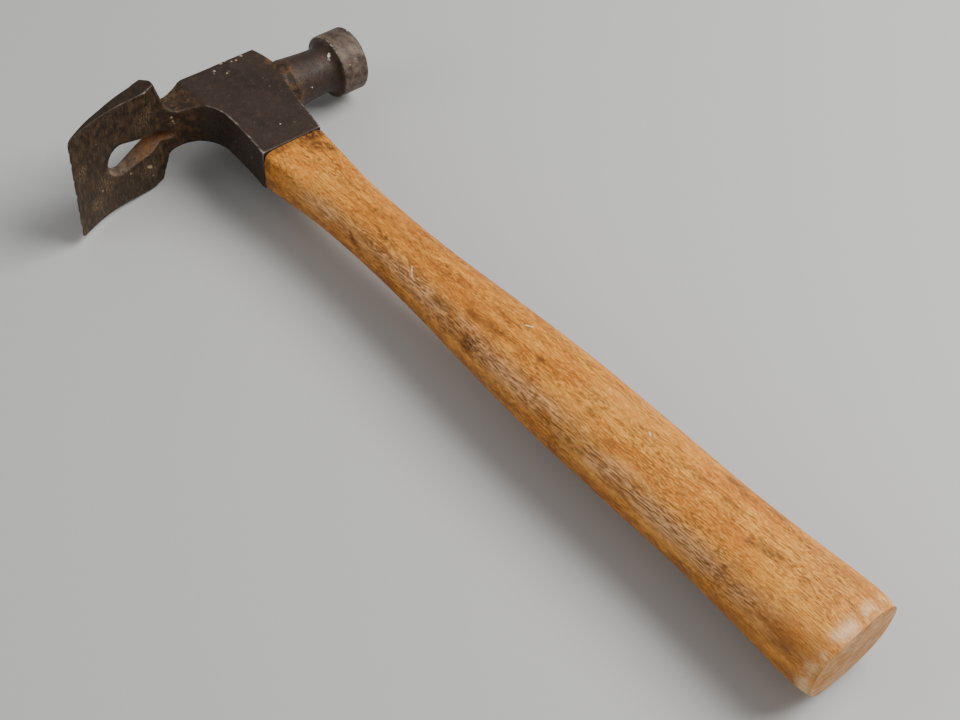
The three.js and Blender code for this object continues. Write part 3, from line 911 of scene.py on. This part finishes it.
def steel_material(name, shade=1.0):
    """Forged steel under an old brown patina. The shade darkens or lightens the patina."""
    material, shader = new_material(name)
    p = Paint(material)
    place = p.attribute("grain", vector=True)
    ragged = p.warp(place, 1.1, 1.1)
    edge, hollow, in_slot = p.attribute("edge"), p.attribute("hollow"), p.attribute("in_slot")
    blade, neck, bell = p.attribute("blade"), p.attribute("neck"), p.attribute("bell")

    def tone(red, green, blue):
        return srgb(red * shade, green * shade, blue * shade)

    broad = p.noise(place, 0.06, 3)
    medium = p.noise(ragged, 0.3, 5, 0.62)
    fine = p.noise(place, 1.7, 5, 0.7)
    colour = p.mix(p.band(broad, 0.38, 0.62), tone(54, 42, 36), tone(63, 50, 42))
    colour = p.mix(p.math("MULTIPLY", p.band(medium, 0.5, 0.72), 0.6), colour, tone(78, 61, 49))
    colour = p.mix(p.math("MULTIPLY", p.band(fine, 0.55, 0.75), 0.4), colour, tone(98, 79, 64))
    # the blade is browner, with faint grinding streaks
    streaks = p.noise(p.stretch(ragged, (0.8, 0.8, 0.22)), 1, 5, 0.65)
    olive = p.mix(p.band(medium, 0.34, 0.6), tone(44, 33, 24), tone(70, 53, 38))
    olive = p.mix(p.math("MULTIPLY", p.band(streaks, 0.5, 0.62), 0.7), olive, tone(98, 78, 56))
    colour = p.mix(p.math("MULTIPLY", blade, 0.85), colour, olive)
    colour = p.mix(p.math("MULTIPLY", p.attribute("blade_side"), 0.6), colour, tone(36, 27, 20))
    # light rust on the neck and round the root of the poll
    tan = p.mix(p.band(medium, 0.42, 0.68), tone(52, 39, 28), tone(98, 73, 48))
    colour = p.mix(p.math("MULTIPLY", neck, p.band(medium, 0.22, 0.5)), colour, tan)
    root = p.math("MULTIPLY", p.attribute("poll_root"), p.band(medium, 0.42, 0.6))
    colour = p.mix(p.math("MULTIPLY", root, 0.7), colour, tone(112, 80, 46))
    # the bell is worn greyer
    worn = p.mix(p.band(medium, 0.34, 0.7), tone(70, 56, 47), tone(128, 110, 96))
    colour = p.mix(p.math("MULTIPLY", bell, 0.75), colour, worn)
    # rust in the slot, brightest at its narrow end, and in the hollows
    rust = p.mix(p.band(medium, 0.4, 0.6), srgb(126, 82, 44), srgb(98, 70, 48))
    rust = p.mix(p.band(fine, 0.5, 0.66), rust, srgb(160, 114, 66))
    grey = p.mix(p.band(medium, 0.4, 0.6), srgb(128, 106, 84), srgb(84, 66, 52))
    rust = p.mix(p.attribute("slot_round_end"), rust, grey)
    rust_share = p.math("MAXIMUM", p.math("MULTIPLY", in_slot, 0.9),
                        p.math("MULTIPLY", hollow, p.band(medium, 0.36, 0.6)))
    colour = p.mix(rust_share, colour, rust)
    # tan scratches, thin pale specks, and chips of old paint
    scratches = p.band(p.noise(p.stretch(ragged, (2.4, 2.4, 0.8)), 1, 4, 0.75), 0.53, 0.6)
    scratches = p.math("MULTIPLY", scratches, p.attribute("scratched"))
    specks = p.math("MAXIMUM", p.specks(ragged, 0.55, 0.2, 0.12), p.specks(ragged, 1.3, 0.24, 0.1))
    torn = p.warp(place, 1.4, 1.5)
    white_chips, tan_chips = p.flecks(torn, WHITE_CHIPS), p.flecks(torn, TAN_CHIPS)
    chips = p.math("MAXIMUM", white_chips, tan_chips)
    colour = p.mix(p.math("MULTIPLY", scratches, 0.75), colour, srgb(150, 126, 90))
    colour = p.mix(p.math("MULTIPLY", specks, 0.55), colour, srgb(140, 116, 88))
    colour = p.mix(edge, colour, srgb(210, 200, 186))
    colour = p.mix(p.math("MULTIPLY", tan_chips, 0.8), colour, srgb(172, 152, 118))
    colour = p.mix(white_chips, colour, srgb(226, 220, 206))
    p.put(shader.inputs["Base Color"], colour)
    flat = p.math("MAXIMUM", p.math("MAXIMUM", rust_share, chips), scratches)
    p.put(shader.inputs["Metallic"], p.blend(flat, p.blend(edge, 0.35, 0.8), 0.0))
    shader.inputs["Specular IOR Level"].default_value = 0.35
    rough = p.blend(p.band(medium, 0.34, 0.66), 0.44, 0.6)
    rough = p.blend(flat, p.blend(edge, rough, 0.3), 0.8)
    p.put(shader.inputs["Roughness"], rough)
    pits = p.specks(ragged, 0.8, 0.36, 0.3)
    height = p.math("ADD", p.math("MULTIPLY", fine, 0.7), p.math("MULTIPLY", pits, -0.6))
    height = p.math("ADD", height, p.math("MULTIPLY", medium, 1.1))
    height = p.math("ADD", height, p.math("MULTIPLY", chips, 0.5))
    p.put(shader.inputs["Normal"], p.bump(height, 0.00022, 1.0))
    return material


def dotted(start, end, radius, count):
    """A short line as overlapping round marks."""
    return [(*(Vector(start).lerp(Vector(end), n / (count - 1))), radius) for n in range(count)]


# pale scratches in the wood
WOOD_NICKS = (dotted((145.4, -7.8, 9.5), (148.4, -10, 8.2), 0.34, 7)
              + dotted((196.6, 4, 12.6), (198.6, 5.4, 12.4), 0.4, 5)
              + dotted((261, 3, 13.9), (262, 2.4, 13.9), 0.35, 3))


def wood_material(name, shade=1.0):
    """Oiled, open-grained hardwood. The shade darkens it."""
    material, shader = new_material(name)
    p = Paint(material)
    place = p.attribute("grain", vector=True)
    flat_grain_and_painted_sheen, stain = p.attribute("flat_grain_and_painted_sheen"), p.attribute("stain")
    end_grain, near_butt = p.attribute("end_grain"), p.attribute("near_butt")

    def tone(red, green, blue):
        return srgb(red * shade, green * shade, blue * shade)

    grain = p.warp(place, 0.035, 3)
    rings = p.noise(p.stretch(grain, (0.006, 0.16, 0.5)), 1, 4, 0.6)
    fibre = p.noise(p.stretch(grain, (0.09, 2.2, 2.2)), 1, 4, 0.7)
    fleck = p.noise(p.stretch(grain, (0.45, 2.4, 2.4)), 1, 4, 0.9)
    blotch = p.noise(p.stretch(place, (0.45, 1, 1)), 0.085, 5, 0.65)
    mottle = p.noise(p.stretch(place, (0.4, 1, 1)), 0.36, 4, 0.7)
    cloud = p.noise(place, 0.035, 3)

    colour = p.mix(p.band(rings, 0.36, 0.64), tone(246, 162, 60), tone(224, 136, 42))
    colour = p.mix(p.math("MULTIPLY", p.band(blotch, 0.48, 0.64), 0.8), colour, tone(206, 118, 28))
    colour = p.mix(p.math("MULTIPLY", p.band(mottle, 0.52, 0.7), 0.55), colour, tone(186, 106, 32))
    colour = p.mix(p.math("MULTIPLY", p.band(cloud, 0.5, 0.66), 0.5), colour, tone(234, 158, 70))
    colour = p.mix(p.math("MULTIPLY", p.band(fleck, 0.52, 0.6), 0.7), colour, tone(255, 198, 98))
    colour = p.mix(p.math("MULTIPLY", p.band(fleck, 0.47, 0.4), 0.7), colour, tone(150, 84, 28))
    # painted sheen: the wood lightened in a pale band along the blade-side facet, standing in for reflected
    # light
    pale = p.math("MULTIPLY", flat_grain_and_painted_sheen, p.band(blotch, 0.72, 0.42))
    colour = p.mix(p.math("MULTIPLY", pale, 0.9), colour, tone(255, 196, 138))
    handled = p.math("MULTIPLY", p.attribute("handled"), p.band(mottle, 0.4, 0.6))
    colour = p.mix(p.math("MULTIPLY", handled, 0.55), colour, tone(168, 100, 40))
    # painted shade: the underside of the grip darkened in mottled patches
    painted_underside_shade = p.math("MULTIPLY", p.attribute("painted_underside_shade"), p.band(mottle, 0.3, 0.6))
    colour = p.mix(p.math("MULTIPLY", painted_underside_shade, 0.75), colour, tone(142, 92, 54))
    colour = p.mix(p.math("MULTIPLY", p.band(fibre, 0.53, 0.61), 0.7), colour, tone(144, 82, 32))
    # open pores: long dark dashes where the grain runs flat, short ones elsewhere
    long_pores = p.specks(p.stretch(grain, (0.2, 2.0, 2.0)), 1, 0.52, 0.92)
    short_pores = p.specks(p.stretch(grain, (0.36, 2.6, 2.6)), 1, 0.48, 0.7)
    crowded = p.band(p.noise(p.stretch(grain, (0.05, 0.5, 0.5)), 0.5, 3), 0.42, 0.58)
    long_pores = p.math("MULTIPLY", long_pores, p.blend(flat_grain_and_painted_sheen, p.math("MULTIPLY", crowded, 0.5), 1.0))
    pores = p.math("MAXIMUM", long_pores, p.math("MULTIPLY", short_pores, p.blend(crowded, 0.3, 0.85)))
    colour = p.mix(p.math("MULTIPLY", pores, 0.85), colour, tone(92, 50, 22))
    # the sawn butt and the crown show the grain from its end
    lines = p.noise(p.stretch(place, (0.01, 0.22, 1.3)), 1, 4, 0.65)
    face = p.mix(p.band(lines, 0.4, 0.6), tone(226, 166, 100), tone(176, 114, 56))
    dots = p.specks(p.stretch(place, (0.05, 1.6, 1.6)), 1, 0.3, 0.5)
    face = p.mix(p.math("MULTIPLY", dots, 0.7), face, tone(110, 74, 48))
    colour = p.mix(end_grain, colour, face)
    colour = p.mix(p.math("MULTIPLY", p.attribute("crown_end"), 0.55), colour, tone(84, 58, 40))
    rim = p.math("MULTIPLY", p.attribute("worn_rim"), p.band(blotch, 0.62, 0.44))
    colour = p.mix(p.math("MULTIPLY", rim, 0.75), colour, tone(255, 212, 162))
    # dirt: handling marks, the joint with the steel, a darker butt
    smears = p.noise(p.stretch(grain, (0.4, 1.5, 1.5)), 1, 4, 0.75)
    dirt = p.math("MULTIPLY", stain, p.band(smears, 0.32, 0.52))
    joint = p.math("MULTIPLY", p.attribute("socket"), p.band(fleck, 0.3, 0.6))
    dirt = p.math("MAXIMUM", dirt, p.math("MULTIPLY", joint, 0.8))
    dirt = p.math("MAXIMUM", dirt, p.attribute("split"))
    colour = p.mix(p.math("MULTIPLY", dirt, 0.88), colour, tone(78, 46, 26))
    aged = p.math("MULTIPLY", near_butt, p.band(blotch, 0.44, 0.6))
    colour = p.mix(p.math("MULTIPLY", aged, 0.4), colour, tone(204, 132, 62))
    nicks = p.flecks(p.warp(place, 1.5, 0.5), WOOD_NICKS)
    colour = p.mix(nicks, colour, tone(244, 226, 200))
    p.put(shader.inputs["Base Color"], colour)
    p.put(shader.inputs["Roughness"], p.blend(p.band(blotch, 0.4, 0.7), 0.46, 0.6))
    shader.inputs["Specular IOR Level"].default_value = 0.2
    height = p.math("SUBTRACT", p.math("MULTIPLY", fibre, 0.5), pores)
    height = p.math("ADD", height, p.math("MULTIPLY", fleck, 0.5))
    p.put(shader.inputs["Normal"], p.bump(height, 0.00016, 0.8))
    return material


def plain_material(name, colour, roughness):
    material, shader = new_material(name)
    p = Paint(material)
    p.put(shader.inputs["Base Color"], colour)
    p.put(shader.inputs["Roughness"], roughness)
    return material


# ---- studio ----
# the camera's place and aim, in the tool frame
CAMERA_PLACE = Vector((455.2, -270.1, 413.4))
CAMERA_AIM = Vector((191.3, -10.7, 0))
CAMERA_ROLL = math.radians(-0.26)
CAMERA_LENS = 56.5               # millimetres, on a sensor 36 mm wide


def make_camera():
    camera = bpy.data.objects.new("camera", bpy.data.cameras.new("camera"))
    camera.data.lens = CAMERA_LENS
    camera.data.sensor_width = 36
    camera.data.clip_start = 0.01
    place = TOOL @ CAMERA_PLACE
    back = place - TOOL @ CAMERA_AIM
    turn = back.to_track_quat("Z", "Y").to_matrix().to_4x4() @ Matrix.Rotation(CAMERA_ROLL, 4, "Z")
    camera.matrix_world = Matrix.Translation(place) @ turn
    bpy.context.scene.collection.objects.link(camera)
    bpy.context.scene.camera = camera


def make_floor():
    mesh = bpy.data.meshes.new("floor")
    half = 3
    mesh.from_pydata([(-half, -half, 0), (half, -half, 0), (half, half, 0), (-half, half, 0)], [],
                     [(0, 1, 2, 3)])
    floor = bpy.data.objects.new("floor", mesh)
    bpy.context.scene.collection.objects.link(floor)
    floor.data.materials.append(plain_material("pale_floor", srgb(196, 196, 194), 0.6))


def make_light(name, place, size, power, aim=(0, 0, 0)):
    light = bpy.data.lights.new(name, "AREA")
    light.shape = "RECTANGLE"
    light.size, light.size_y = size
    light.energy = power
    lamp = bpy.data.objects.new(name, light)
    lamp.location = place
    lamp.rotation_euler = (Vector(place) - Vector(aim)).to_track_quat("Z", "Y").to_euler()
    bpy.context.scene.collection.objects.link(lamp)


def make_studio():
    world = bpy.data.worlds.new("studio")
    world.use_nodes = True
    world.node_tree.nodes["Background"].inputs["Color"].default_value = (1, 1, 1, 1)
    world.node_tree.nodes["Background"].inputs["Strength"].default_value = 0.3
    bpy.context.scene.world = world
    make_light("softbox", (0.35, 0.75, 0.9), (0.9, 0.7), 20)
    make_light("fill", (-0.5, -0.9, 0.6), (0.8, 0.6), 2.8)


# ---- scene ----
def place(piece, node, slot, material):
    piece.data.materials.clear()
    piece.data.materials.append(material)
    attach(piece, "root")
    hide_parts(node)


make_camera()
make_floor()
make_studio()
place(make_head(), "head", "forged_steel", steel_material("patinated_forged_steel"))

steel_cutters = [wedge_cutter(STEEL_WEDGE, side * STEEL_WEDGE_OFFSET, False) for side in (-1, 1)]
kerf_cutter = wedge_cutter(KERF_WEDGE, 0, True)
handle = make_handle([kerf_cutter, *steel_cutters])
place(handle, "handle", "handle_wood", wood_material("worn_hickory"))
kerf_wedge = make_wedge("wooden_wedge", KERF_WEDGE, 0, True, 0.3, steel_cutters)
place(kerf_wedge, "kerf_wedge", "wedge_wood", wood_material("dark_wedge_wood", 0.55))
wedge_steel = steel_material("tarnished_wedge_steel", 1.5)
for number, side in enumerate((-1, 1), start=1):
    wedge = make_wedge(f"iron_wedge_{number}", STEEL_WEDGE, side * STEEL_WEDGE_OFFSET, False, 0.2, [])
    place(wedge, f"steel_wedge_{number}", "wedge_steel", wedge_steel)
discard([kerf_cutter, *steel_cutters])
